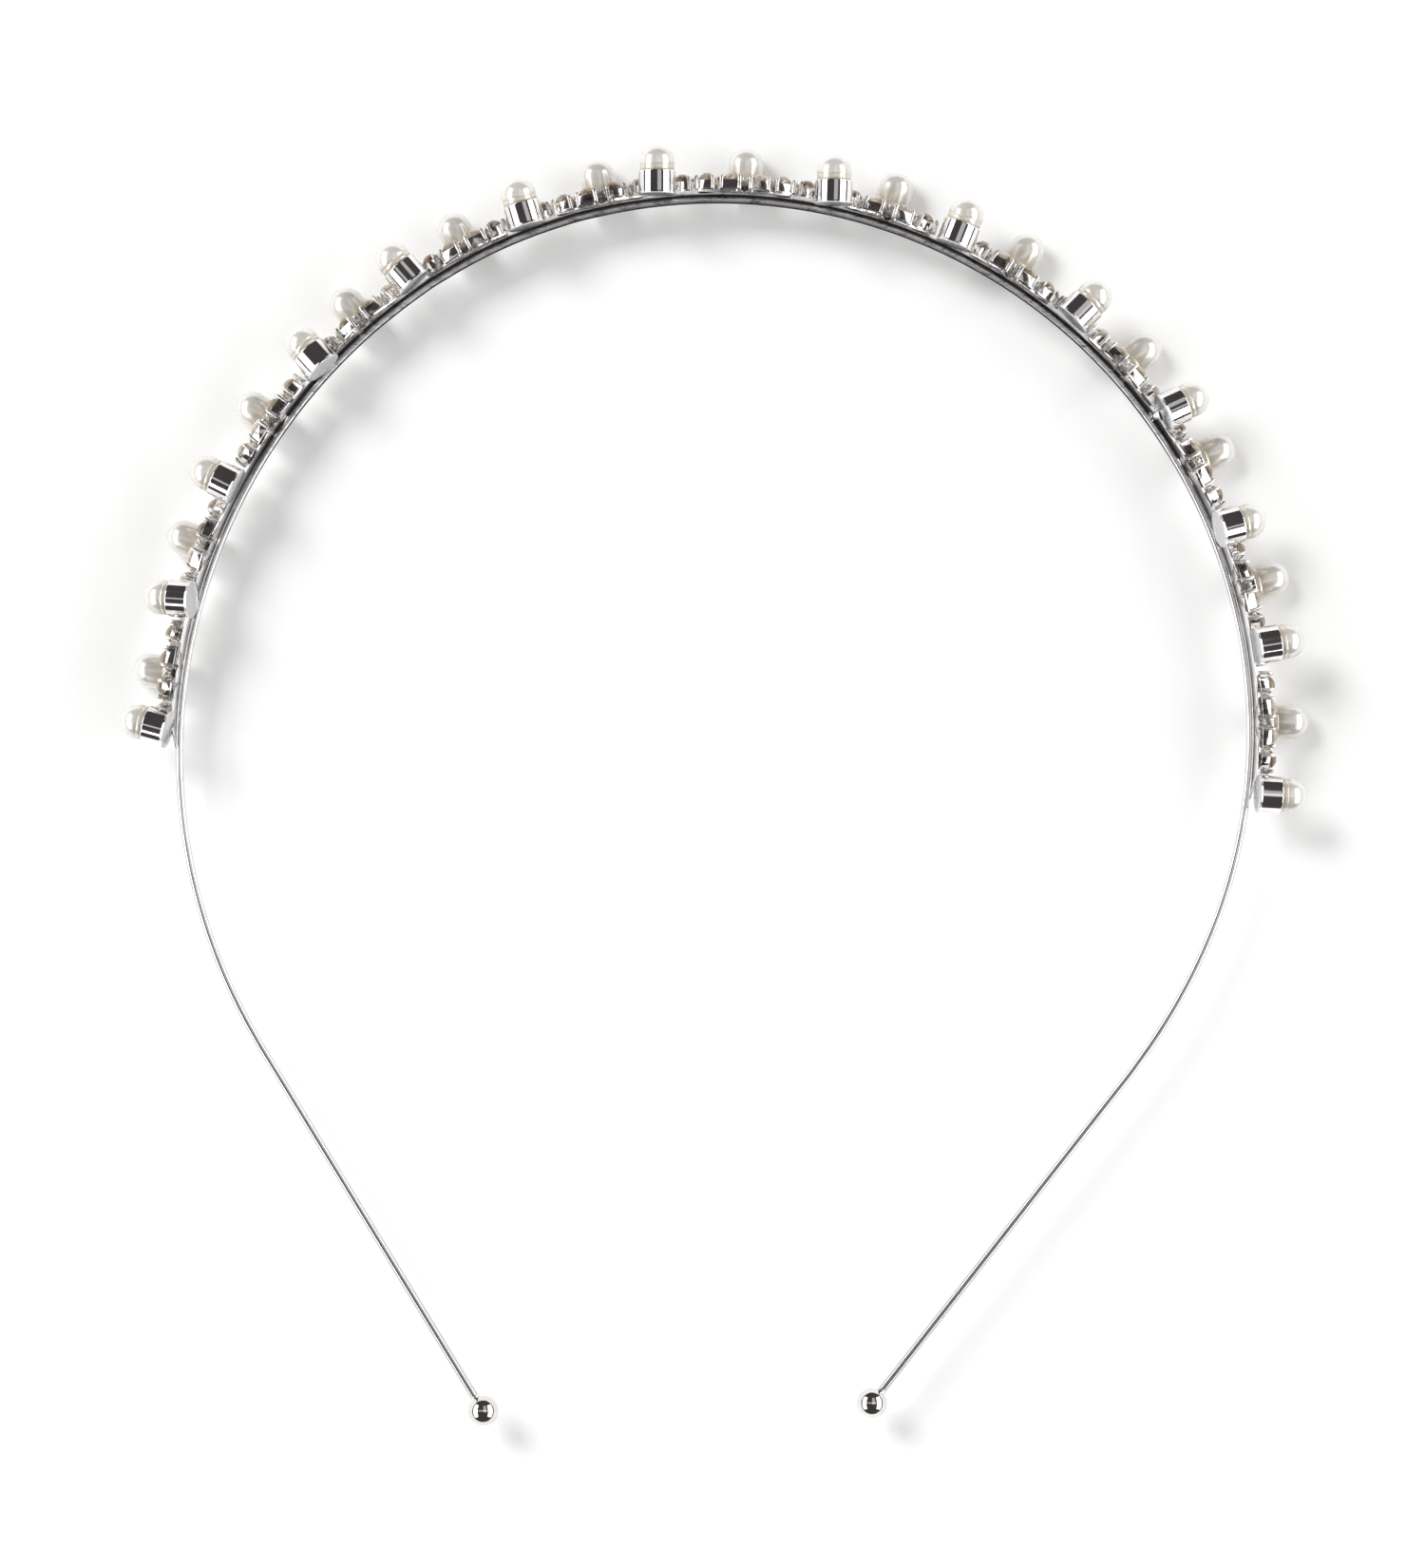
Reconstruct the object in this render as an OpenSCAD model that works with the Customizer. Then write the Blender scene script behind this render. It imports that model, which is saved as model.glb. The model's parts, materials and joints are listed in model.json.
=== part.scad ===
// Springy wire headband: a round wire hoop with ball ends. Its crown carries a woven
// chain of claw-set crystals between two rows of pearls in plain cups.
// The hoop lies flat, crown towards +Y and legs towards -Y. +Z is the upper side.
// The origin is under the middle of the whole headband, on the surface it lies on.

/* [Hoop wire] */
// Diameter of the hoop wire
wire_d = 0.9; // [0.8:0.05:1.0]
// Centreline radius of the crown
crown_r = 61.0; // [60:0.5:62]
// Centreline radius of the short stretch left of the crown, bent a little tighter
shoulder_r = 57.5; // [56:0.5:59]
// Centreline radius of the left side
left_r = 64.5; // [63:0.5:66]
// Centreline radius of the bend into the right leg
right_r = 67.5; // [66:0.5:69]
// Straight length of the left leg, from its bend to the middle of its ball
left_leg_len = 48.6; // [40:0.1:55]
// Straight length of the right leg, from its bend to the middle of its ball
right_leg_len = 47.7; // [40:0.1:55]
// Height of the hoop's plane above the surface that the headband lies on
ring_z = 5.4; // [5.2:0.05:5.6]

/* [Ball ends] */
// Diameter of the ball on each leg
ball_d = 3.5; // [3:0.1:4]
// Diameter of the collar where the wire enters the ball
collar_d = 1.4; // [1.2:0.1:1.6]
// Depth that the wire runs into the ball, measured from the ball's middle
wire_stop = 0.6; // [0.4:0.1:1.0]

/* [Backing strip] */
// Width of the strip across the hoop
strip_w = 2.6; // [2.2:0.1:2.8]
// Thickness of the strip
strip_t = 0.3; // [0.2:0.05:0.4]

/* [Pearls and their cups] */
// Diameter of a pearl
pearl_d = 4.0; // [3.8:0.1:4.1]
// Length of the straight skirt between the dome of an upper pearl and its cup
skirt_h = 0.9; // [0.6:0.1:1.2]
// Outside diameter of a cup
cup_d = 4.3; // [4.2:0.1:4.4]
// Height of a cup of the upper row
cup_h = 2.85; // [2.6:0.05:3.0]
// Height of a cup of the lower row, where the crystals hide it and a pearl's skirt is longer
lower_cup_h = 1.4; // [1.2:0.05:2.4]
// Wall of a cup
cup_wall = 0.22; // [0.2:0.01:0.25]
// Height of the foot lip round the bottom of a cup
lip_h = 0.22; // [0.15:0.01:0.3]
// Distance of each row of cups from the hoop's plane
row_z = 2.6; // [2.6:0.05:2.8]

/* [Crystals] */
// Side of a square claw setting
claw_w = 2.3; // [2.1:0.1:2.4]
// Height of a setting's walls
claw_h = 1.15; // [1.0:0.05:1.3]
// Height of a setting's corner prongs
prong_h = 1.7; // [1.5:0.05:1.9]
// Thickness of a prong
prong_d = 0.5; // [0.4:0.05:0.55]
// Diameter of a crystal at its girdle
gem_d = 2.0; // [1.8:0.1:2.0]
// Spacing of the crystals along the chain
gem_pitch = 2.8; // [2.7:0.05:3.0]
// Distance of the first crystal from the crest of a wave
gem_first = 1.5; // [1.4:0.05:1.7]
// Height of the chain's wave to either side of the hoop's plane
wave_z = 1.15; // [1.0:0.05:1.2]
// Thickness of the plate under a pair of settings
plate_t = 0.2; // [0.15:0.05:0.25]
// Width of a plate
plate_w = 1.9; // [1.6:0.1:2.1]

/* [Hidden] */
$fn = 48;
SILVER = [0.82, 0.82, 0.83];
PEARL = [0.94, 0.92, 0.87];
CRYSTAL = [0.86, 0.80, 0.74];

// Every pearl from the left end over the crown to the right end, upper row and lower row in
// turn: [direction of the hoop's normal, height of the dome's middle above the wire,
// lean of the cup away from +Z, turn of the cup in the hoop's plane]
STATIONS = [
    [176.9, 4.7, 12, -12], [171.9, 4.2, 10, 0],
    [164.9, 4.3, 16, 11],  [158.8, 4.3, 9, 0],
    [152.3, 4.6, 8, 1],    [144.8, 4.3, 8, 0],
    [137.1, 4.2, 12, -5],  [131.4, 4.3, 8, 0],
    [125.3, 4.7, 6, 6],    [118.3, 4.2, 6, 0],
    [110.6, 4.4, 5, -4],   [102.2, 4.3, 5, 0],
    [96.0, 4.5, 3, -6],    [87.1, 4.2, 5, 0],
    [78.2, 4.4, 4, 10],    [71.8, 4.7, 5, 0],
    [64.3, 4.5, 5, 4],     [57.3, 4.8, 6, 0],
    [49.1, 4.8, 6, -4],    [41.9, 4.8, 8, 0],
    [35.1, 5.2, 12, -10],  [29.4, 5.0, 11, -6],
    [21.7, 4.3, 14, -7],   [15.5, 5.1, 12, 0],
    [9.1, 4.9, 11, 0],     [1.1, 4.9, 9, 0],
    [-6.3, 4.7, 8, 3]];
LAST = len(STATIONS) - 1;
UPPER_COUNT = ceil(len(STATIONS) / 2);
LOWER_COUNT = floor(len(STATIONS) / 2);
LOWER_GROUPS = [[1, 4], [5, 9], [10, 13]];
GROUP_NAMES = ["left", "upper_left", "upper_right", "right"];
GROUP_SPANS = [[0, 6], [7, 12], [13, 18], [19, 25]];

// Normal directions where the hoop's arcs meet, from the right leg round to the left leg
RIGHT_BEND_END = -38.1;
RIGHT_BEND = -23;
SHOULDER = 105;
LEFT_SIDE = 123.5;
LEFT_BEND_END = 211.4;
// Flex points of the two legs, and the ends of the backing strip
RIGHT_FLEX = -20;
LEFT_FLEX = 191;
STRIP_START = -8.5;
STRIP_END = 180.5;

wire_r = wire_d / 2;
// Small step that keeps two joined faces from lying in one plane
skin = 0.01;
bead_r = wire_r + skin / 2;
weld_gap = 0.03;
flex_gap = 0.04;
fit_gap = 0.02;
// Clearance of the settings over the plates, which are straight while the hoop curves
stone_gap = 0.07;
hub = [0.1, 6.1];
shoulder_c = hub + (crown_r - shoulder_r) * unit(SHOULDER);
left_c = shoulder_c + (shoulder_r - left_r) * unit(LEFT_SIDE);
right_c = hub + (crown_r - right_r) * unit(RIGHT_BEND);
// Depth that the wire sinks into the strip's groove, and the strip's outer face
strip_sink = 0.05;
platform = wire_r + strip_t - strip_sink;
bridge_w = 0.6;
dome_h = cup_h + skirt_h;
lip_d = cup_d + 0.1;
// Crystal spacing: where it is measured, and the least room left beside and behind a cup
chain_out = 1.5;
room_at_cup = 1.9;
room_at_end = 0.9;
trough_pitch = 2.65;
plate_inset = 0.15;
plate_len = gem_pitch + claw_w - 2 * plate_inset;
// Solder posts under the cups that stand clear of the strip
post_w = 1.2;
post_t = 0.65;
post_z = 0.6;
post_grip = 0.35;
least_post = 0.1;
collar_h = 0.4;
collar_sink = 0.6;

function unit(a) = [cos(a), sin(a)];
function numbered(stem, n) = str(stem, n < 10 ? "0" : "", n);

// Arc of the hoop that holds the point whose normal is at a: [centre, radius]
function arc_at(a) = a < RIGHT_BEND ? [right_c, right_r]
    : a < SHOULDER ? [hub, crown_r]
    : a < LEFT_SIDE ? [shoulder_c, shoulder_r]
    : [left_c, left_r];
function hoop_point(a, out = 0) = arc_at(a)[0] + (arc_at(a)[1] + out) * unit(a);
function degrees_of(mm, a) = mm / arc_at(a)[1] * 180 / PI;
function after(a) = a + degrees_of(weld_gap, a);

function is_upper(i) = i % 2 == 0;
function row_of(i) = is_upper(i) ? row_z : -row_z;
function cup_top(i) = is_upper(i) ? cup_h : lower_cup_h;
function station_a(i) = STATIONS[i][0];
function foot_h(i) = STATIONS[i][1] - dome_h * cos(STATIONS[i][2]) * cos(STATIONS[i][3]);

// Chain: stretch i runs between stations i and i + 1, and its crest is at the lower pearl
function crest(i) = is_upper(i) ? i + 1 : i;
function trough(i) = is_upper(i) ? i : i + 1;
function stretch_len(i) = abs(station_a(i) - station_a(i + 1)) * PI / 180 * (crown_r + chain_out);
function end_room(i) = i == 0 || i == LAST - 1 ? room_at_end : room_at_cup;
function gems_in(i) = floor((stretch_len(i) - gem_first - end_room(i)) / gem_pitch) + 1;
function gem_from_crest(k) = gem_first + k * gem_pitch;
function gem_a(i, d) = station_a(crest(i))
    + (station_a(trough(i)) - station_a(crest(i))) * d / stretch_len(i);
function wave(i, d) = wave_z * cos(180 * d / stretch_len(i));
function slope(i, d) = atan(wave_z * sin(180 * d / stretch_len(i)) * PI / stretch_len(i))
    * sign(station_a(crest(i)) - station_a(trough(i)));
function room(i) = stretch_len(i) - gem_from_crest(gems_in(i) - 1);

// Crystals behind upper pearl i, between the last ones of the two stretches that meet there
function trough_gap(i) = room(i - 1) + room(i);
function trough_gems(i) = max(0, floor(trough_gap(i) / trough_pitch) - 1);
function trough_at(i, k) = trough_gap(i) * k / (trough_gems(i) + 1) - room(i - 1);

module on_hoop(a, out = 0) {
    translate([hoop_point(a, out)[0], hoop_point(a, out)[1], ring_z])
        rotate([0, 0, a])
            children();
}

// Round wire bent along one arc of the hoop, between two normal directions
module wire_arc(from, to) {
    arc = arc_at((from + to) / 2);
    translate([arc[0][0], arc[0][1], ring_z])
        rotate_extrude(angle = to - from, start = from, $fn = 240)
            translate([arc[1], 0])
                circle(r = wire_r);
}

module strip_arc(from, to) {
    arc = arc_at((from + to) / 2);
    translate([arc[0][0], arc[0][1], ring_z])
        rotate_extrude(angle = to - from, start = from, $fn = 240)
            difference() {
                translate([arc[1] + platform - strip_t, -strip_w / 2])
                    square([strip_t, strip_w]);
                translate([arc[1], 0])
                    circle(r = wire_r + skin);
            }
}

// Straight wire from where the last arc ends, along the leg
module straight_wire(a, side, length) {
    on_hoop(a)
        rotate([side * 90, 0, 0])
            translate([0, 0, weld_gap])
                cylinder(r = wire_r, h = length - weld_gap);
}

// Bead that closes the seam between two stretches of wire, or rounds the end at a flex point
module wire_bead(a) {
    on_hoop(a) sphere(r = bead_r);
}

// Block that closes the seam between two stretches of the strip
module strip_bridge(a) {
    on_hoop(a)
        translate([wire_r + 3 * skin, -bridge_w / 2, 2 * skin - strip_w / 2])
            cube([platform - wire_r - 2 * skin, bridge_w, strip_w - 4 * skin]);
}

// Ball at the end of a leg, bored for the wire; side is 1 on the left leg and -1 on the right
module end_ball(a, side, length) {
    color(SILVER)
    on_hoop(a)
        rotate([side * -90, 0, 0])
            difference() {
                union() {
                    translate([0, 0, length])
                        sphere(d = ball_d);
                    translate([0, 0, length - ball_d / 2 - collar_h])
                        cylinder(d = collar_d, h = collar_h + collar_sink);
                }
                translate([0, 0, length - ball_d])
                    cylinder(r = wire_r + fit_gap, h = ball_d - wire_stop + fit_gap);
            }
}

// Places its children at the foot of cup i, with the cup's axis along +Z
module at_cup(i) {
    s = STATIONS[i];
    along = dome_h * cos(s[2]) * sin(s[3]);
    on_hoop(s[0])
        translate([foot_h(i), -along, row_of(i)])
            rotate([0, 0, s[3]])
                rotate([0, 90 + s[2], 0])
                    children();
}

module cup_solid(i) {
    color(SILVER)
    at_cup(i)
        difference() {
            union() {
                cylinder(d = cup_d, h = cup_top(i));
                cylinder(d = lip_d, h = lip_h);
            }
            translate([0, 0, cup_wall])
                cylinder(d = cup_d - 2 * cup_wall, h = cup_h);
        }
}

module cup_seat(i) {
    at_cup(i)
        translate([0, 0, -fit_gap])
            cylinder(d = lip_d + 2 * fit_gap, h = cup_h);
}

module pearl_solid(i) {
    color(PEARL)
    at_cup(i)
        translate([0, 0, dome_h]) {
            sphere(d = pearl_d);
            translate([0, 0, cup_top(i) + fit_gap - dome_h])
                cylinder(d = pearl_d, h = dome_h - cup_top(i) - fit_gap);
        }
}

// Solder post that joins the strip to the foot of a cup that stands clear of it
module solder_post(i) {
    side = is_upper(i) ? 1 : -1;
    top = foot_h(i) - side * cup_d / 2 * sin(STATIONS[i][2]) + post_grip;
    if (top > platform + least_post)
        on_hoop(station_a(i))
            translate([platform - strip_t / 2, -post_w / 2, side > 0 ? post_z : -post_z - post_t])
                cube([top - platform + strip_t / 2, post_w, post_t]);
}

// Square setting with four corner prongs and a round seat for its crystal
module setting_solid() {
    seat_floor = 0.25;
    prong_at = claw_w / 2 - prong_d / 2;
    difference() {
        union() {
            translate([-claw_w / 2, -claw_w / 2, 0])
                cube([claw_w, claw_w, claw_h]);
            for (x = [-1, 1], y = [-1, 1])
                translate([x * prong_at, y * prong_at, 0])
                    cylinder(d = prong_d, h = prong_h, $fn = 24);
        }
        translate([0, 0, seat_floor])
            cylinder(d = gem_d + 2 * fit_gap, h = prong_h);
    }
}

// Cut crystal: a pointed back, a girdle and a flat table
module gem_solid() {
    sides = 8;
    table_r = 0.3 * gem_d;
    tip_z = 0.3;
    girdle_z = 1.1;
    table_z = 1.65;
    ring = [for (k = [0:sides - 1]) 360 * k / sides];
    points = concat(
        [for (a = ring) [table_r * cos(a), table_r * sin(a), table_z]],
        [for (a = ring) [gem_d / 2 * cos(a), gem_d / 2 * sin(a), girdle_z]],
        [[0, 0, tip_z]]);
    faces = concat(
        [[for (k = [sides - 1:-1:0]) k]],
        [for (k = [0:sides - 1]) [k, (k + 1) % sides, sides + (k + 1) % sides, sides + k]],
        [for (k = [0:sides - 1]) [sides + k, sides + (k + 1) % sides, 2 * sides]]);
    polyhedron(points = points, faces = faces);
}

// Places its children at distance d from the crest of stretch i, standing on the plates
module on_chain(i, d) {
    on_hoop(gem_a(i, d), platform + plate_t + stone_gap)
        translate([0, 0, wave(i, d)])
            rotate([slope(i, d), 0, 0])
                rotate([0, 90, 0])
                    children();
}

module chain_group(span) {
    for (i = [span[0]:span[1]]) {
        for (k = [0:gems_in(i) - 1])
            on_chain(i, gem_from_crest(k))
                children();
        if (is_upper(i) && i > 0 && trough_gems(i) > 0)
            for (k = [1:trough_gems(i)])
                in_trough(i, trough_at(i, k))
                    children();
    }
}

module in_trough(i, x) {
    if (x < 0)
        on_chain(i - 1, stretch_len(i - 1) + x) children();
    else
        on_chain(i, stretch_len(i) - x) children();
}

module crown_wire() {
    color(SILVER) {
        wire_arc(RIGHT_FLEX + degrees_of(bead_r + flex_gap, RIGHT_FLEX), SHOULDER);
        wire_bead(SHOULDER);
        wire_arc(after(SHOULDER), LEFT_SIDE);
        wire_bead(LEFT_SIDE);
        wire_arc(after(LEFT_SIDE), LEFT_FLEX - degrees_of(bead_r + flex_gap, LEFT_FLEX));
    }
}

module left_leg_wire() {
    color(SILVER) {
        wire_bead(LEFT_FLEX);
        wire_arc(LEFT_FLEX, LEFT_BEND_END);
        wire_bead(LEFT_BEND_END);
        straight_wire(LEFT_BEND_END, -1, left_leg_len - wire_stop);
    }
}

module right_leg_wire() {
    color(SILVER) {
        wire_bead(RIGHT_FLEX);
        wire_arc(after(RIGHT_BEND), RIGHT_FLEX);
        wire_bead(RIGHT_BEND);
        wire_arc(RIGHT_BEND_END, RIGHT_BEND);
        wire_bead(RIGHT_BEND_END);
        straight_wire(RIGHT_BEND_END, 1, right_leg_len - wire_stop);
    }
}

module left_end_ball() {
    end_ball(LEFT_BEND_END, 1, left_leg_len);
}

module right_end_ball() {
    end_ball(RIGHT_BEND_END, -1, right_leg_len);
}

module backing_strip() {
    color(SILVER)
    difference() {
        union() {
            strip_arc(STRIP_START, SHOULDER);
            strip_bridge(SHOULDER);
            strip_arc(after(SHOULDER), LEFT_SIDE);
            strip_bridge(LEFT_SIDE);
            strip_arc(after(LEFT_SIDE), STRIP_END);
            for (i = [0:LAST])
                solder_post(i);
        }
        for (i = [0:LAST])
            cup_seat(i);
    }
}

// One straight plate under the first pair of settings on each side of every crest
module link_plates() {
    middle = gem_first + gem_pitch / 2;
    color(SILVER)
    for (i = [0:LAST - 1])
        on_hoop(gem_a(i, middle), platform + fit_gap)
            translate([0, 0, wave(i, middle)])
                rotate([slope(i, middle), 0, 0])
                    translate([0, -plate_len / 2, -plate_w / 2])
                        cube([plate_t, plate_len, plate_w]);
}

module stone_settings(g) {
    color(SILVER) chain_group(GROUP_SPANS[g]) setting_solid();
}

module crystals(g) {
    color(CRYSTAL) chain_group(GROUP_SPANS[g]) gem_solid();
}

module lower_pearls(g) {
    for (n = [LOWER_GROUPS[g][0]:LOWER_GROUPS[g][1]])
        pearl_solid(2 * n - 1);
}

crown_wire();
left_leg_wire();
right_leg_wire();
left_end_ball();
right_end_ball();
backing_strip();
link_plates();
lower_pearls(0);  // lower_pearls_left
lower_pearls(1);  // lower_pearls_crown
lower_pearls(2);  // lower_pearls_right
for (g = [0:len(GROUP_NAMES) - 1]) {
    stone_settings(g);
    crystals(g);
}
for (n = [1:UPPER_COUNT]) {
    cup_solid(2 * n - 2);
    pearl_solid(2 * n - 2);
}
for (n = [1:LOWER_COUNT])
    cup_solid(2 * n - 1);
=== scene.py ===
"""A springy silver headband: pearls in plain cups and claw-set crystals on a round wire hoop.

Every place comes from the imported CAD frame: wires from their own top lines, and cups, pearls,
settings and plates from the flat foot of each solid. Sizes below are in millimetres.
"""

import json
import math

import bmesh
import bpy
import numpy as np
from mathutils import Matrix, Vector


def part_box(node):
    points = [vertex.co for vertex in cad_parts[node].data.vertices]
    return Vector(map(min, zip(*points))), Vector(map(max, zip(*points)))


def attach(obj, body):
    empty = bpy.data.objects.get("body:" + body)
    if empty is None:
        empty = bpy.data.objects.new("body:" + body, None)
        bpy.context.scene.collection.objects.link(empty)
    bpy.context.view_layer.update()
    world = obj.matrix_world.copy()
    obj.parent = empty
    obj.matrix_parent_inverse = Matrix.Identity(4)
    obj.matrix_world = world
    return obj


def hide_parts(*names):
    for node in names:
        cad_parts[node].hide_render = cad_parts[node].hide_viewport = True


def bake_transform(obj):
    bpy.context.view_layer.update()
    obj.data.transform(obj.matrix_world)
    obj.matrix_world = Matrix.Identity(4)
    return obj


MM = 0.001
UP = Vector((0, 0, 1))

# Camera and light, in millimetres from the middle of the hoop's plane
CAMERA_HEIGHT = 900
CAMERA_OFFSET = (-0.44, 0.25)
FRAME_TALL = 179.35
SENSOR = 36
SOFTBOX_DISTANCE = 1500
SOFTBOX_SPANS = {"left": (12, 46), "right": (12, 50)}
SOFTBOX_WIDE = 2640
SOFTBOX_GLOW = 2.65
OVERHEAD_HEIGHT = 1000
SUN_STRENGTH = 1.65
SUN_SPREAD = 23
SUN_FROM = (-1.05, 1, 1.5)
FLOOR_HALF = 1500
STUDIO_DARK = (0.056, 0.049, 0.050)
STUDIO_FILL = (0.17, 0.17, 0.17)
STUDIO_BACKDROP = (0.9, 0.9, 0.9)

OVERHEAD_STRIP = {"place": (0, 0, OVERHEAD_HEIGHT), "size": (2000, 180), "glow": 0.45}
OVERHEAD_CARD = {"place": (250, 330, OVERHEAD_HEIGHT - 20), "size": (440, 1060), "glow": 0.42}

# Wire: the leg pieces start above the strip's low end
WIRE_STEP = 1.0
WIRE_SIDES = 32
LEG_STARTS = {"left": 5, "right": 6}

# Where along the hoop the wire's finish changes, as the Y coordinates in metres of a change's two ends
CROWN_BLOTCHES = (0.030, 0.048)
CROWN_HAZE = (0.025, 0.045)
CROWN_RIPPLE = (0.020, 0.045)
# The next two set where painted shade fades in towards the crown, on the wire's inner edge and on the
# strip's inner side.
CROWN_PAINTED_SHADE = (0.020, 0.042)
STRIP_PAINTED_SHADE = (0.020, 0.040)
TIPS_DULL = (-0.015, -0.060)
TIPS_HAZE = (-0.020, -0.060)

# End balls
COLLAR_OUT = 0.1
COLLAR_TALL = 0.3
COLLAR_SLOPE = 68

# Cups and pearls
LIP_OUT = 0.05
RIM_ROLL = 0.16
PEARL_SEAM = 0.42
SKIRT_FADE = 0.7

# Settings, crystals and plates
PRONG_R = 0.24
PRONG_SHOWS = 0.06
SETTING_GROWS = 0.14
WALL_T = 0.2
WALL_RISE = 0.55
STONE_RISE = 0.34
STONE_SIDES = 12
PLATE_LEAN = math.radians(6)
PLATE_IN = 0.05

# Backing strip and its solder
STRIP_HALF_T = 0.1
STRIP_TWIST = 1.7
STRIP_OUT = 0.52
STRIP_TONGUE = 2.4
STRIP_SHORT = 1.4
STRIP_WAIST = 0.4
STRIP_NARROWS = (25, 45)
# How much painted shade the strip's inner and outer sides get at the crown.
STRIP_INNER_SHADE = 0.95
STRIP_OUTER_SHADE = 0.15
CORNER_STEPS = 3
SOLDER_WIDE = 0.8
SOLDER_TALL = 0.4
SOLDER_GAP = 0.5

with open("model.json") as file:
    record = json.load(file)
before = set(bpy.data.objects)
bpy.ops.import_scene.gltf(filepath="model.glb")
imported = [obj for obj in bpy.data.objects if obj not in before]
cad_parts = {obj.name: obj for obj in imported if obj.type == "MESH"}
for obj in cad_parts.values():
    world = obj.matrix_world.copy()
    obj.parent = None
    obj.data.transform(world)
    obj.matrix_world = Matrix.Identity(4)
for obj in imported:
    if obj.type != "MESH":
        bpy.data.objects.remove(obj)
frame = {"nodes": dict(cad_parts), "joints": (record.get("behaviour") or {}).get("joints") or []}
bpy.context.view_layer.update()
nodes = frame["nodes"]


# Reading the CAD solids

def solids_of(node):
    """The separate solids of a CAD node, each as (points, faces), a face being (normal, centre, area)."""
    mesh = nodes[node].data
    co = np.array([v.co for v in mesh.vertices])
    _, same = np.unique(np.round(co / 1e-6).astype(int), axis=0, return_inverse=True)
    same = same.reshape(-1)
    root = list(range(int(same.max()) + 1))

    def find(i):
        while root[i] != i:
            root[i] = root[root[i]]
            i = root[i]
        return i

    for face in mesh.polygons:
        first = find(same[face.vertices[0]])
        for v in face.vertices[1:]:
            root[find(same[v])] = first
    faces, points = {}, {}
    for face in mesh.polygons:
        if face.area > 1e-13:
            faces.setdefault(find(same[face.vertices[0]]), []).append(
                (face.normal.copy(), face.center.copy(), face.area)
            )
    for i, v in zip(same, co):
        points.setdefault(find(i), []).append(v)
    return [(np.array(points[k]), faces[k]) for k in sorted(faces)]


def flats(faces):
    """The flat sides of a solid as (area, normal, centre), largest first."""
    groups = {}
    for normal, centre, area in faces:
        key = (*(round(x, 3) for x in normal), round(normal.dot(centre) / 2e-5))
        groups.setdefault(key, []).append((normal, centre, area))
    found = []
    for members in groups.values():
        area = sum(a for _, _, a in members)
        centre = sum((c * a for _, c, a in members), Vector()) / area
        found.append((area, members[0][0].normalized(), centre))
    return sorted(found, key=lambda f: -f[0])


def placed(solid, has_walls):
    """Where a solid stands: its foot's centre, with local Z out from the hoop and local Y near +Z."""
    _, faces = solid
    sides = flats(faces)
    _, normal, origin = next(f for f in sides if f[1].dot(f[2] - middle) < 0)
    out = -normal
    up = UP
    if has_walls:
        walls = [f for f in sides if abs(f[1].dot(out)) < 0.02][:4]
        up = max(walls, key=lambda f: f[1].z)[1]
    y = (up - out * up.dot(out)).normalized()
    x = y.cross(out)
    return Matrix.Translation(origin) @ Matrix((x, y, out)).transposed().to_4x4()


def measured(solid, place):
    """A solid's largest distance from its axis, its largest half side and its height, in millimetres."""
    inside = place.inverted()
    local = np.array([inside @ Vector(p) for p in solid[0]]) / MM
    return (
        float(np.hypot(local[:, 0], local[:, 1]).max()),
        float(np.abs(local[:, :2]).max()),
        float(local[:, 2].max()),
    )


def top_line(*names):
    """The centreline of wires that lie flat, from the highest points of their meshes, by direction."""
    tops = []
    for name in names:
        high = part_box(name)[1].z
        co = np.array([v.co for v in nodes[name].data.vertices])
        tops.append(co[co[:, 2] > high - 0.006 * MM])
    tops = np.concatenate(tops)
    angle = np.arctan2(tops[:, 1] - middle.y, tops[:, 0] - middle.x)
    angle = np.where(angle < -math.pi / 2, angle + 2 * math.pi, angle)
    order = np.argsort(-angle)
    line, angle = tops[order][:, :2], angle[order]
    kept = [line[0]]
    for p in line[1:]:
        if np.linalg.norm(p - kept[-1]) > 0.6 * MM:
            kept.append(p)
    return np.array(kept)


def ball(node):
    """A ball's centre and radius. The collar points up the leg, so the box's low sides are the ball's."""
    lo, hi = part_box(node)
    r = (hi.z - lo.z) / 2
    return Vector((lo.x + r, lo.y + r, plane_z)), r


strip_lo, strip_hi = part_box("backing_strip")
wire_lo, wire_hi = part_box("crown_wire")
wire_r = (wire_hi.z - wire_lo.z) / 2 / MM
plane_z = (wire_hi.z + wire_lo.z) / 2
hoop_r = (strip_hi.x - strip_lo.x) / 2
middle = Vector(((strip_lo.x + strip_hi.x) / 2, strip_hi.y - hoop_r, plane_z))


def direction(p):
    """The direction of a point round the hoop, from the right end over the crown to the left end."""
    angle = math.atan2(p[1] - middle.y, p[0] - middle.x)
    return angle + 2 * math.pi if angle < -math.pi / 2 else angle


cups = {}
for name in sorted(nodes):
    if name.startswith(("upper_cup", "lower_cup")):
        solid = solids_of(name)[0]
        place = placed(solid, False)
        cups[name] = (place, *measured(solid, place))
leans = sorted((direction(place.translation), -math.asin(place.col[2].z)) for place, *_ in cups.values())


def lean_at(p):
    """How far the cups near a point lean away from the upper side, in radians."""
    return float(np.interp(direction(p), [a for a, _ in leans], [lean for _, lean in leans]))


def share(value, start, end):
    """0 where the value is start or before it, 1 where it is end or past it, and a straight run between."""
    return min(max((value - start) / (end - start), 0), 1)


# Building meshes

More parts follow.
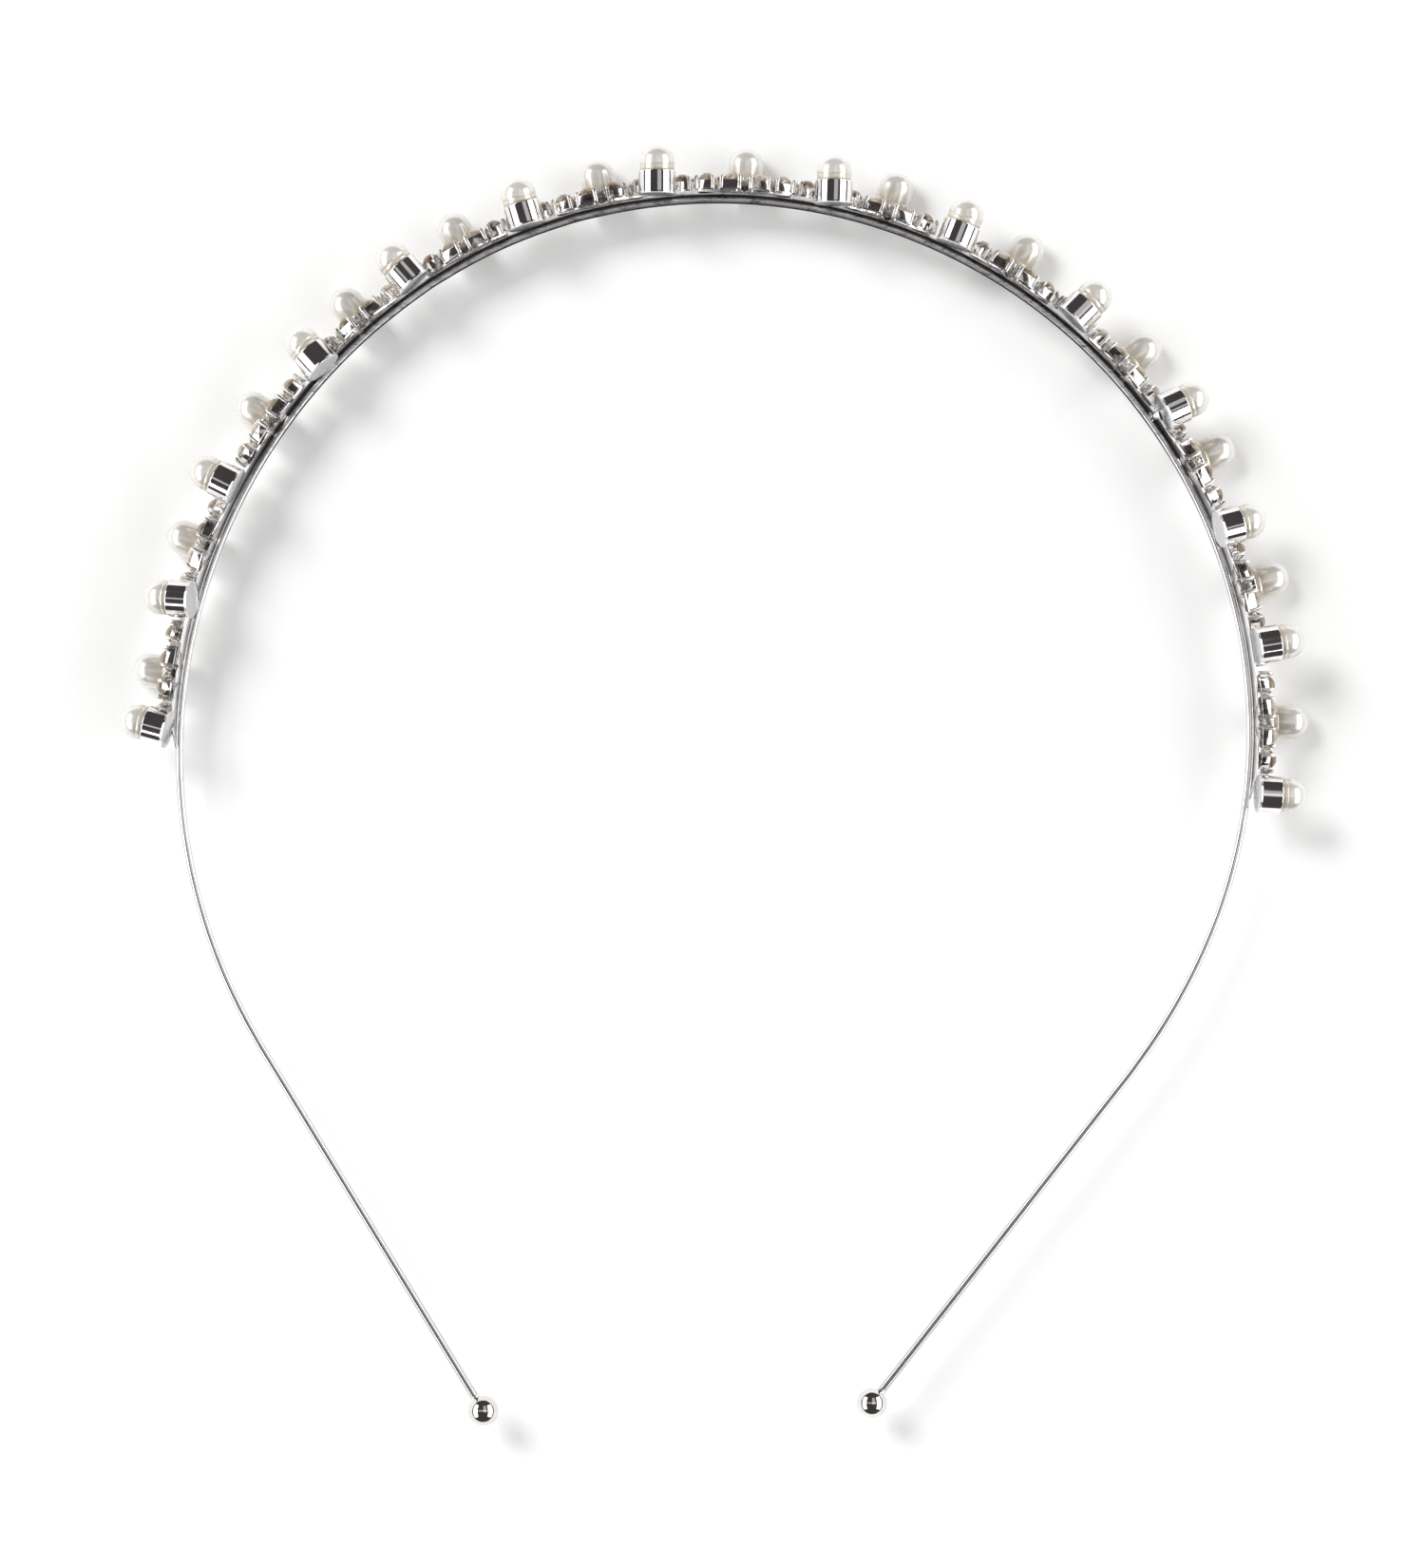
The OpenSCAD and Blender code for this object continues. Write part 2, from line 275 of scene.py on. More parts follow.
class Shape:
    """A mesh gathered from pieces given in millimetres, each at its own place."""

    def __init__(self):
        self.verts, self.faces = [], []

    def add(self, piece, place=Matrix.Identity(4)):
        verts, faces = piece
        base = len(self.verts)
        self.verts += [place @ (Vector(v) * MM) for v in verts]
        self.faces += [[base + i for i in face] for face in faces]
        return self

    def build(self, name, material, sharp=35):
        if not self.faces:
            raise ValueError(name + " has no faces")
        mesh = bpy.data.meshes.new(name)
        mesh.from_pydata(self.verts, [], self.faces)
        bm = bmesh.new()
        bm.from_mesh(mesh)
        bmesh.ops.recalc_face_normals(bm, faces=bm.faces)
        bm.to_mesh(mesh)
        bm.free()
        for face in mesh.polygons:
            face.use_smooth = sharp > 0
        if sharp > 0:
            mesh.set_sharp_from_angle(angle=math.radians(sharp))
        mesh.materials.append(material)
        piece = bpy.data.objects.new(name, mesh)
        bpy.context.scene.collection.objects.link(piece)
        return piece


def arc(cx, cz, r, start, end, steps):
    """Points of an arc, the angles in degrees."""
    angles = [math.radians(start + (end - start) * k / steps) for k in range(steps + 1)]
    return [(cx + r * math.cos(a), cz + r * math.sin(a)) for a in angles]


def lathe(profile, sides=72):
    """The profile, points of (radius, height), turned about Z. It starts and ends on the axis."""
    verts, rings = [], []
    for r, z in profile:
        if r < 1e-6:
            rings.append([len(verts)])
            verts.append((0, 0, z))
            continue
        rings.append(list(range(len(verts), len(verts) + sides)))
        for k in range(sides):
            a = 2 * math.pi * k / sides
            verts.append((r * math.cos(a), r * math.sin(a), z))
    faces = []
    for low, high in zip(rings, rings[1:]):
        for k in range(sides):
            n = (k + 1) % sides
            if len(low) == 1:
                faces.append([low[0], high[n], high[k]])
            elif len(high) == 1:
                faces.append([low[k], low[n], high[0]])
            else:
                faces.append([low[k], low[n], high[n], high[k]])
    return verts, faces


def lofted(rings):
    """Rings of equal length joined one to the next, with both ends capped."""
    count = len(rings[0])
    verts = [p for ring in rings for p in ring]
    faces = [list(range(count))[::-1], list(range(len(verts) - count, len(verts)))]
    for j in range(len(rings) - 1):
        for k in range(count):
            n = (k + 1) % count
            faces.append([j * count + k, j * count + n, (j + 1) * count + n, (j + 1) * count + k])
    return verts, faces


def rounded_bar(half_x, half_y, low, high, radius, top_radius=None, steps=4):
    """An upright bar with rounded corners and a softened top edge."""
    top_radius = radius if top_radius is None else top_radius

    def ring(inset, z):
        r = max(radius - inset, 0.02)
        points = []
        for cx, cy, start in ((1, 1, 0), (-1, 1, 90), (-1, -1, 180), (1, -1, 270)):
            x, y = cx * (half_x - inset - r), cy * (half_y - inset - r)
            points += [(px, py, z) for px, py in arc(x, y, r, start, start + 90, steps)]
        return points

    rings = [ring(0, low)]
    for k in range(steps + 1):
        a = math.radians(90 * k / steps)
        rings.append(ring(top_radius * (1 - math.cos(a)), high - top_radius * (1 - math.sin(a))))
    return lofted(rings)


def moved(piece, place):
    """The piece with its points moved, all in millimetres."""
    verts, faces = piece
    return [tuple(place @ Vector(v)) for v in verts], faces


def at(x, y, z=0):
    return Matrix.Translation((x, y, z))


# Materials

class Nodes:
    """A material's node tree with short ways to add and join nodes."""

    def __init__(self, name):
        self.material = bpy.data.materials.new(name)
        self.material.use_nodes = True
        self.tree = self.material.node_tree
        self.shader = self.tree.nodes["Principled BSDF"]
        place = self.tree.nodes.new("ShaderNodeTexCoord")
        self.place = place.outputs["Object"]

    def set(self, **values):
        for key, value in values.items():
            self.shader.inputs[key.replace("_", " ")].default_value = value

    def noise(self, scale, detail=3, rough=0.5, stretch=None):
        node = self.tree.nodes.new("ShaderNodeTexNoise")
        node.inputs["Scale"].default_value = scale
        node.inputs["Detail"].default_value = detail
        node.inputs["Roughness"].default_value = rough
        source = self.place
        if stretch:
            mapping = self.tree.nodes.new("ShaderNodeMapping")
            mapping.inputs["Scale"].default_value = stretch
            self.tree.links.new(source, mapping.inputs["Vector"])
            source = mapping.outputs["Vector"]
        self.tree.links.new(source, node.inputs["Vector"])
        return node.outputs["Fac"]

    def ramp(self, fac, *stops):
        node = self.tree.nodes.new("ShaderNodeValToRGB")
        while len(node.color_ramp.elements) < len(stops):
            node.color_ramp.elements.new(0.5)
        for element, (position, colour) in zip(node.color_ramp.elements, stops):
            element.position = position
            element.color = (*colour, 1) if len(colour) == 3 else colour
        self.tree.links.new(fac, node.inputs["Fac"])
        return node.outputs["Color"]

    def spread(self, fac, low, high):
        node = self.tree.nodes.new("ShaderNodeMapRange")
        node.inputs["To Min"].default_value = low
        node.inputs["To Max"].default_value = high
        self.tree.links.new(fac, node.inputs["Value"])
        return node.outputs["Result"]

    def between(self, value, start, end, low, high):
        """Low where the value is start, high where it is end, and a straight run between."""
        output = self.spread(value, low, high)
        output.node.inputs["From Min"].default_value = start
        output.node.inputs["From Max"].default_value = end
        return output

    def height(self):
        """The object's own Y coordinate, in metres: high at the crown and low at the tips."""
        node = self.tree.nodes.new("ShaderNodeSeparateXYZ")
        self.tree.links.new(self.place, node.inputs["Vector"])
        return node.outputs["Y"]

    def attribute(self, name):
        node = self.tree.nodes.new("ShaderNodeAttribute")
        node.attribute_name = name
        return node.outputs["Fac"]

    def mixed(self, fac, first, second):
        """Two colours mixed; each is a colour or another node's output."""
        node = self.tree.nodes.new("ShaderNodeMix")
        node.data_type = "RGBA"
        self.tree.links.new(fac, node.inputs["Factor"])
        for socket, colour in zip((node.inputs[6], node.inputs[7]), (first, second)):
            if isinstance(colour, tuple):
                socket.default_value = (*colour, 1)
            else:
                self.tree.links.new(colour, socket)
        return node.outputs[2]

    def sum(self, first, second):
        node = self.tree.nodes.new("ShaderNodeMath")
        self.tree.links.new(first, node.inputs[0])
        self.tree.links.new(second, node.inputs[1])
        return node.outputs[0]

    def bump(self, fac, strength, distance, varied=None):
        node = self.tree.nodes.new("ShaderNodeBump")
        if varied:
            self.tree.links.new(varied, node.inputs["Strength"])
        node.inputs["Strength"].default_value = strength
        node.inputs["Distance"].default_value = distance * MM
        self.tree.links.new(fac, node.inputs["Height"])
        self.tree.links.new(node.outputs["Normal"], self.shader.inputs["Normal"])

    def join(self, output, name):
        self.tree.links.new(output, self.shader.inputs[name])


def silver_material(name, tone, wear, ripple, stain=0.86, stain_scale=260, stain_edge=0.62):
    """Bright silver plate: stains or a soft tonal drift, polishing haze and a faint hand-worked ripple."""
    m = Nodes(name)
    dull = tuple(c * stain for c in tone)
    m.join(m.ramp(m.noise(stain_scale, 4, 0.6), (0.35, dull), (stain_edge, tone)), "Base Color")
    haze = m.noise(1900, 5, 0.7)
    m.join(m.spread(haze, 0.03 + wear / 4, 0.03 + wear), "Roughness")
    m.bump(m.noise(900, 3, 0.55), ripple, 0.04)
    m.set(Metallic=1.0)
    return m.material


def wire_material(name, tone, side_haze):
    """Plated steel: bright at the sides, hazy and blotched with flux at the crown, dull near the tips."""
    m = Nodes(name)
    drift = m.ramp(m.noise(420, 5, 0.65), (0.35, tuple(c * 0.84 for c in tone)), (0.6, tone))
    dulled = m.mixed(m.between(m.height(), *TIPS_DULL, 0, 1), drift, (0.56, 0.55, 0.545))
    blotches = m.ramp(
        m.noise(1700, 5, 0.75, (0.35, 1, 1)),
        (0.36, (0.20, 0.19, 0.19)), (0.49, (0.88, 0.87, 0.87)), (0.58, (0.99, 0.98, 0.98)),
    )
    hazed = m.mixed(m.between(m.height(), *CROWN_BLOTCHES, 0, 0.85), dulled, blotches)
    # Painted shade: the marked inner edge of the crown wire and the strip's inner side are mixed to near
    # black.
    m.join(m.mixed(m.attribute("painted_shade"), hazed, (0.035, 0.032, 0.033)), "Base Color")
    haze = m.spread(m.noise(2300, 5, 0.7), side_haze, side_haze + 0.13)
    crown = m.between(m.height(), *CROWN_HAZE, 0, 0.30)
    tips = m.between(m.height(), *TIPS_HAZE, 0, 0.14)
    m.join(m.sum(haze, m.sum(crown, tips)), "Roughness")
    m.bump(m.noise(1600, 4, 0.6), 0.14, 0.04, m.between(m.height(), *CROWN_RIPPLE, 0.12, 0.9))
    m.set(Metallic=1.0)
    return m.material


def pearl_material():
    """Imitation pearl: beige core under a lustrous coat that pales towards the edge."""
    m = Nodes("pearl_lustre")
    lustre = m.ramp(
        m.noise(420, 4, 0.6),
        (0.3, (0.72, 0.685, 0.62)), (0.55, (0.82, 0.795, 0.75)), (0.75, (0.81, 0.80, 0.78)),
    )
    m.join(m.mixed(m.attribute("skirt"), lustre, (0.70, 0.64, 0.53)), "Base Color")
    m.join(m.spread(m.noise(900, 3, 0.5), 0.22, 0.30), "Roughness")
    m.bump(m.noise(700, 2, 0.4), 0.04, 0.01)
    m.set(
        Metallic=0.45, Coat_Weight=1.0, Coat_Roughness=0.10, Coat_IOR=1.6,
        Sheen_Weight=0.4, Sheen_Roughness=0.45, Sheen_Tint=(0.90, 0.95, 1.0, 1),
    )
    return m.material


def crystal_material():
    """Cut crystal over a champagne foil."""
    m = Nodes("crystal_champagne")
    tint = m.noise(190, 3, 0.6)
    m.join(
        m.ramp(tint, (0.36, (0.15, 0.10, 0.06)), (0.50, (0.38, 0.285, 0.205)), (0.62, (0.64, 0.57, 0.49))),
        "Base Color",
    )
    m.join(m.spread(m.noise(2400, 2, 0.5), 0.0, 0.05), "Roughness")
    m.bump(m.noise(1200, 2, 0.5), 0.05, 0.01)
    m.set(Metallic=0.3, Transmission_Weight=0.15, IOR=1.6, Coat_Weight=0.5, Coat_Roughness=0.03)
    return m.material


def floor_material():
    """Matt white paper."""
    m = Nodes("paper_white")
    grain = m.noise(40, 3, 0.5)
    m.join(m.ramp(grain, (0.3, (0.88, 0.88, 0.876)), (0.7, (0.892, 0.892, 0.888))), "Base Color")
    m.set(Roughness=0.9, Specular_IOR_Level=0.1)
    return m.material


SMALL_STAINS = (1100, 0.50)

wire_silver = wire_material("wire_silver", (0.80, 0.79, 0.79), 0.03)
strip_silver = wire_material("strip_silver", (0.95, 0.945, 0.945), 0.30)
ball_silver = silver_material("ball_silver", (0.83, 0.815, 0.79), 0.05, 0.03)
cup_silver = silver_material("cup_silver", (0.95, 0.945, 0.945), 0.06, 0.05)
foot_silver = silver_material("foot_silver", (0.72, 0.72, 0.73), 0.30, 0.06)
prong_silver = silver_material("prong_silver", (0.92, 0.90, 0.885), 0.45, 0.1, 0.35, *SMALL_STAINS)
plate_silver = silver_material("plate_silver", (0.93, 0.91, 0.895), 0.35, 0.2, 0.5, *SMALL_STAINS)
# The claws' dark stains are partly painted shade: random dark patches that stand in for the shade in the
# gaps between settings.
claw_silver = silver_material("claw_silver", (0.90, 0.875, 0.855), 0.10, 0.12, 0.22, *SMALL_STAINS)
solder_silver = silver_material("solder_silver", (0.82, 0.81, 0.80), 0.30, 0.5)
pearl = pearl_material()
crystal = crystal_material()


# Wires and end balls

def smooth_path(points, step):
    """Points about one step apart along a Catmull-Rom curve through the given ones."""
    gaps = np.linalg.norm(np.diff(points, axis=0), axis=1)
    even = [points[0]]
    for p, q, gap in zip(points, points[1:], gaps):
        parts = max(1, round(gap / (3 * MM)))
        even += [p + (q - p) * k / parts for k in range(1, parts + 1)]
    pts = np.array([2 * np.array(even[0]) - even[1], *even, 2 * np.array(even[-1]) - even[-2]])
    out = []
    for i in range(1, len(pts) - 2):
        p0, p1, p2, p3 = pts[i - 1:i + 3]
        parts = max(1, round(np.linalg.norm(p2 - p1) / step))
        for k in range(parts):
            t = k / parts
            out.append(0.5 * (
                2 * p1 + (p2 - p0) * t + (2 * p0 - 5 * p1 + 4 * p2 - p3) * t * t
                + (3 * p1 - p0 - 3 * p2 + p3) * t ** 3
            ))
    out.append(pts[-2])
    return np.array(out)


def side_of(path, i):
    """The direction across a flat path at point i, outwards from the hoop."""
    ahead = path[min(i + 1, len(path) - 1)] - path[max(i - 1, 0)]
    across = np.array([-ahead[1], ahead[0]])
    return across / np.linalg.norm(across)


def wire_tube(path):
    """A round wire along a flat path, as rings in metres."""
    rings = []
    for i, p in enumerate(path):
        out = side_of(path, i)
        ring = []
        for k in range(WIRE_SIDES):
            a = 2 * math.pi * k / WIRE_SIDES
            xy = p / MM + out * wire_r * math.cos(a)
            ring.append((xy[0], xy[1], plane_z / MM + wire_r * math.sin(a)))
        rings.append(ring)
    return lofted(rings)


def painted_shade(piece, path):
    """Marks the inner edge of the crown on a wire's vertices for painted shade: a dark line standing in for
    the shadowed floor that edge reflects.
    """
    values = []
    for p in path:
        for k in range(WIRE_SIDES):
            inner = -math.cos(2 * math.pi * k / WIRE_SIDES)
            values.append(share(p[1], *CROWN_PAINTED_SHADE) * share(inner, 0.55, 0.70))
    piece.data.attributes.new("painted_shade", "FLOAT", "POINT").data.foreach_set("value", values)


bends = top_line("left_leg_wire", "crown_wire", "right_leg_wire")
tips = [np.array(ball(node)[0][:2]) for node in ("left_end_ball", "right_end_ball")]
hoop_path = smooth_path(np.array([tips[0], *bends, tips[1]]), WIRE_STEP * MM)


def nearest(x, y):
    """Which point of the hoop's path is nearest to the given one."""
    return min(range(len(hoop_path)), key=lambda i: math.hypot(hoop_path[i][0] - x, hoop_path[i][1] - y))


left_split = nearest(strip_lo.x, strip_lo.y + LEG_STARTS["left"] * MM)
right_split = nearest(strip_hi.x, strip_lo.y + LEG_STARTS["right"] * MM)


def leg(name, path, joint_name, nodes_replaced):
    joint = next(j for j in frame["joints"] if j["name"] == joint_name)
    pivot = Vector(joint["pos_m"])
    down = Vector((path[-1][0], path[-1][1], plane_z)) - pivot
    down.normalize()
    piece = Shape().add(wire_tube(path)).build(name, wire_silver)
    painted_shade(piece, path)
    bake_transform(piece)
    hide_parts(nodes_replaced)
    return piece


crown_path = hoop_path[left_split:right_split + 1]
crown = Shape().add(wire_tube(crown_path)).build("hoop_crown", wire_silver)
painted_shade(crown, crown_path)
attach(crown, "crown")
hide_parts("crown_wire")
leg("hoop_left_leg", hoop_path[:left_split + 1][::-1], "left_leg_flex", "left_leg_wire")
leg("hoop_right_leg", hoop_path[right_split:], "right_leg_flex", "right_leg_wire")


def end_ball(name, node, body):
    """A polished ball with a small soldered collar where the wire enters it."""
    centre, r = ball(node)
    r /= MM
    tip, inner = (hoop_path[0], hoop_path[8]) if name.startswith("left") else (hoop_path[-1], hoop_path[-9])
    back = Vector((*(inner - tip), 0)).normalized()
    collar_r = wire_r + COLLAR_OUT
    neck = math.sin(math.radians(COLLAR_SLOPE)) * r
    top = neck + COLLAR_TALL
    profile = [(0, -r), *arc(0, 0, r, -90, COLLAR_SLOPE, 48)[1:]]
    profile += [(collar_r + 0.02, neck + 0.03), (collar_r, neck + 0.1), (collar_r, top)]
    profile += arc(collar_r - 0.1, top, 0.1, 0, 90, 5)[1:] + [(0, top + 0.1)]
    x = UP.cross(back)
    place = Matrix.Translation(centre) @ Matrix((x, UP, back)).transposed().to_4x4()
    piece = Shape().add(lathe(profile), place).build(name, ball_silver)
    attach(piece, body)
    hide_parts(node)


end_ball("left_ball", "left_end_ball", "left_leg")
end_ball("right_ball", "right_end_ball", "right_leg")


# Cups and pearls

def cup_profile(r, h):
    """A drawn cup: flat foot, foot lip, straight wall, rim rolled in over the pearl."""
    body = r - LIP_OUT
    wall = body - 0.2
    return [
        (0, 0), (r - 0.5, 0), (r - 0.16, 0), (r - 0.05, 0.02), (r, 0.07), (r, 0.14), (r - 0.02, 0.19),
        (body + 0.005, 0.23), (body, 0.27), (body, 0.30), (body, h - 0.40), (body, h - 0.35),
        *arc(body - RIM_ROLL, h - 0.30, RIM_ROLL, 0, 90, 6),
        (wall, h - 0.16), (wall, 0.5), (wall - 0.2, 0.4), (0, 0.4),
    ]


def crimped(piece, start, depth):
    """The piece with all above the start height waved, as a rim pressed over by hand."""
    verts, faces = piece
    waved = []
    for x, y, z in verts:
        if z > start:
            a = math.atan2(y, x)
            wave = 0.6 * math.sin(15 * a) + 0.4 * math.sin(23 * a + 1.3)
            z += depth * wave * min(1, (z - start) / 0.15)
        waved.append((x, y, z))
    return waved, faces


def add_foot(piece, place):
    """Gives the flat foot of a cup its satin finish."""
    piece.data.materials.append(foot_silver)
    inside = place.inverted()
    for face in piece.data.polygons:
        face.material_index = int((inside @ face.center).z < 0.012 * MM)


def pearl_profile(r, straight):
    """A bullet pearl: dome, short skirt, fine seam and the ring that sits in the cup."""
    return [
        (0, -0.9), (r - 0.35, -0.9), (r - 0.24, -0.8), (r - 0.24, -0.22),
        (r - 0.09, -0.12), (r - 0.03, 0.02),
        (r - 0.02, PEARL_SEAM - 0.04), (r - 0.035, PEARL_SEAM), (r - 0.01, PEARL_SEAM + 0.04),
        *arc(0, straight, r, 0, 90, 30)[:-1], (0, straight + r),
    ]


def add_pearl(shape, skirts, solid):
    """Adds a pearl to the shape, and to skirts how much each of its points belongs to the skirt."""
    place = placed(solid, False)
    r, _, height = measured(solid, place)
    piece = lathe(pearl_profile(r, height - r))
    skirts += [share(height - r - z, 0, SKIRT_FADE) for _, _, z in piece[0]]
    shape.add(piece, place)


for name in sorted(nodes):
    if name.startswith(("upper_cup", "lower_cup")):
        place, r, _, height = cups[name]
        cup = crimped(lathe(cup_profile(r, height), 96), height - 0.36, 0.035)
        piece = Shape().add(cup, place).build(name + "_drawn", cup_silver)
        add_foot(piece, place)
        slot = "cup_plate"
    elif name.startswith(("upper_pearl", "lower_pearls")):
        shape, skirts = Shape(), []
        for solid in solids_of(name):
            add_pearl(shape, skirts, solid)
        piece = shape.build(name + "_dome", pearl)
        piece.data.attributes.new("skirt", "FLOAT", "POINT").data.foreach_set("value", skirts)
        slot = "pearl"
    else:
        continue
    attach(piece, "crown")
    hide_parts(name)


# Settings, crystals and plates

def setting(half, wall_h):
    """A square claw setting without its prongs: a stepped base and four flat walls."""
    inner = half - PRONG_SHOWS
    pieces = [
        rounded_bar(half, half, 0, 0.16, 0.16, 0.06),
        rounded_bar(half - 0.1, half - 0.1, 0.1, 0.27, 0.12, 0.05),
    ]
    for x, y in ((0, 1), (0, -1), (1, 0), (-1, 0)):
        wall = rounded_bar(
            WALL_T / 2 if x else inner - 0.1, WALL_T / 2 if y else inner - 0.1, 0.2, wall_h, 0.04, 0.04, 2
        )
        pieces.append(moved(wall, at(x * (inner - WALL_T / 2 - 0.04), y * (inner - WALL_T / 2 - 0.04))))
    return pieces


def prong(x, y, half, top):
    """A corner prong: upright, its rounded tip pressed a little over the stone."""
    corner = half - PRONG_R
    inward = Vector((-x, -y, 0)).normalized()
    centre = Vector((x * corner, y * corner, 0))
    path = [
        (0, 0.08, 0.9), (0, 0.16, 1.0), (0, top * 0.70, 1.0), (0.03, top * 0.82, 1.0),
        (0.10, top * 0.92, 0.92), (0.17, top * 0.975, 0.70), (0.24, top, 0.30),
    ]
    rings = []
    for i, (shift, z, girth) in enumerate(path):
        ahead = path[min(i + 1, len(path) - 1)]
        behind = path[max(i - 1, 0)]
        tilt = math.atan2(ahead[0] - behind[0], ahead[1] - behind[1])
        out = inward * math.cos(tilt) - UP * math.sin(tilt)
        across = UP.cross(inward)
        spot = centre + inward * shift + UP * z
        r = PRONG_R * girth
        rings.append([
            tuple(spot + out * r * math.cos(a) + across * r * math.sin(a))
            for a in (2 * math.pi * k / 14 for k in range(14))
        ])
    return lofted(rings)


def facet_ring(radius, z, turn):
    """The corners of one row of facets; turn is in shares of a facet."""
    angles = [2 * math.pi * (k + turn) / STONE_SIDES for k in range(STONE_SIDES)]
    return [(radius * math.cos(a), radius * math.sin(a), z) for a in angles]


def cut_stone(r, girdle, crown):
    """A rose-cut stone: rows of facets stepping up to a small flat table, over a shallow back."""
    rows = [
        facet_ring(r * 0.6, girdle - 0.5, 0),
        facet_ring(r, girdle - 0.06, 0),
        facet_ring(r, girdle + 0.02, 0),
        facet_ring(r * 0.90, girdle + crown * 0.42, 0.5),
        facet_ring(r * 0.68, girdle + crown * 0.76, 0),
        facet_ring(r * 0.38, girdle + crown, 0.5),
    ]
    verts, faces = lofted(rows)
    split = faces[:2]
    for face in faces[2:]:
        is_back = face[0] < 2 * STONE_SIDES
        split += [face] if is_back else [face[:3], [face[0], face[2], face[3]]]
    return verts, split


def leaned(place, extra=0):
    """The place turned to lean with the cups near it."""
    return place @ Matrix.Rotation(lean_at(place.translation) + extra, 4, "X")


for name in sorted(nodes):
    if not name.startswith("stone_settings"):
        continue
    stones = name.replace("stone_settings", "crystals")
    metal, prongs, gems = Shape(), Shape(), Shape()
    for solid in solids_of(name):
        place = placed(solid, True)
        _, half, height = measured(solid, place)
        half += SETTING_GROWS
        wall_h = height - WALL_RISE
        for piece in setting(half, wall_h):
            metal.add(piece, leaned(place))
        for x, y in ((-1, -1), (-1, 1), (1, -1), (1, 1)):
            prongs.add(prong(x, y, half, height), leaned(place))
        gems.add(cut_stone(half - 0.17, wall_h - 0.02, WALL_RISE + STONE_RISE), leaned(place))
    metal = metal.build(name + "_walls", claw_silver)
    prongs = prongs.build(name + "_prongs", prong_silver)
    gems = gems.build(stones + "_cut", crystal, sharp=0)
    for piece, node, slot in (
        (metal, name, "claw_plate"), (prongs, name, "claw_plate"), (gems, stones, "crystal")
    ):
        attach(piece, "crown")
        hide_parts(node)

plates = Shape()
for solid in solids_of("link_plates"):
    place = placed(solid, True)
    inside = place.inverted()
    local = np.array([inside @ Vector(p) for p in solid[0]]) / MM
    half_x, half_y = np.abs(local[:, 0]).max(), np.abs(local[:, 1]).max()
    plate = rounded_bar(half_x, half_y, -PLATE_IN, local[:, 2].max(), 0.3, 0.06)
    plates.add(plate, leaned(place, PLATE_LEAN))
plates = plates.build("stamped_plates", plate_silver)
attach(plates, "crown")
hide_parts("link_plates")


# Backing strip and its solder

def strip_section(half_t, half_w, corner=0.07):
    """The strip's cross-section: a thin bar with rounded edges."""
    points = []
    for u, v, start in ((1, 1, 0), (-1, 1, 90), (-1, -1, 180), (1, -1, 270)):
        points += arc(u * (half_t - corner), v * (half_w - corner), corner, start, start + 90, CORNER_STEPS)
    return points


def strip_ribbon(path, half_w):
    """The strip bent along the outer side of the hoop, leaning with the cups, with a tongue at each end."""
    lengths = np.concatenate([[0], np.cumsum(np.linalg.norm(np.diff(path, axis=0), axis=1))]) / MM
    rings = []
    for i, p in enumerate(path):
        near_end = min(1, min(lengths[i], lengths[-1] - lengths[i]) / STRIP_TONGUE)
        out, lean = side_of(path, i), STRIP_TWIST * lean_at(p) * near_end
        stands_off = STRIP_OUT - 0.12 * (1 - near_end)
        crown = share((p[1] - middle.y) / MM, *STRIP_NARROWS)
        width = half_w * (0.2 + 0.8 * near_end ** 0.7) * (1 - STRIP_WAIST * crown)
        ring = []
        for u, v in strip_section(STRIP_HALF_T, width):
            xy = p / MM + out * (stands_off + u * math.cos(lean) + v * math.sin(lean))
            ring.append((xy[0], xy[1], plane_z / MM + v * math.cos(lean) - u * math.sin(lean)))
        rings.append(ring)
    return lofted(rings)


def solder_joint(place, r, above):
    """A saddle of solder from the strip to the near edge of a cup's foot; nothing where the two touch."""
    foot = place @ (Vector((0, -above * (r - 0.75), 0)) * MM)
    i = nearest(foot.x, foot.y)
    out = side_of(hoop_path, i)
    gap = float(np.dot(np.array(foot[:2]) - hoop_path[i], out)) / MM - STRIP_OUT
    if gap < SOLDER_GAP:
        return None
    seat = hoop_path[i] + out * STRIP_OUT * MM
    seat = Vector((seat[0], seat[1], plane_z + above * 0.6 * MM))
    axis = (foot - seat).normalized()
    along = UP.cross(axis).normalized()
    turn = Matrix((along, axis.cross(along), axis)).transposed().to_4x4()
    half = (foot - seat).length / MM / 2 + 0.12
    rings = []
    for k in range(13):
        t = k / 6 - 1
        flare = 0.55 + 0.45 * t * t
        wide, tall, sway = SOLDER_WIDE * flare, SOLDER_TALL * flare, 0.06 * math.sin(5 * t)
        angles = [2 * math.pi * n / 24 for n in range(24)]
        rings.append([(wide * math.cos(a), tall * math.sin(a) + sway, half * t) for a in angles])
    return lofted(rings), Matrix.Translation((foot + seat) / 2) @ turn


def paint_strip_shade(strip):
    """Marks the strip's inner side for painted shade at the crown, and the rest of it a little: the shade
    in the gap between strip and wire.
    """
    corner = CORNER_STEPS + 1
    values = []
    for k, v in enumerate(strip.data.vertices):
        is_inner = corner < k % (4 * corner) < 3 * corner
        values.append((STRIP_INNER_SHADE if is_inner else STRIP_OUTER_SHADE) * share(v.co.y, *STRIP_PAINTED_SHADE))
    strip.data.attributes.new("painted_shade", "FLOAT", "POINT").data.foreach_set("value", values)


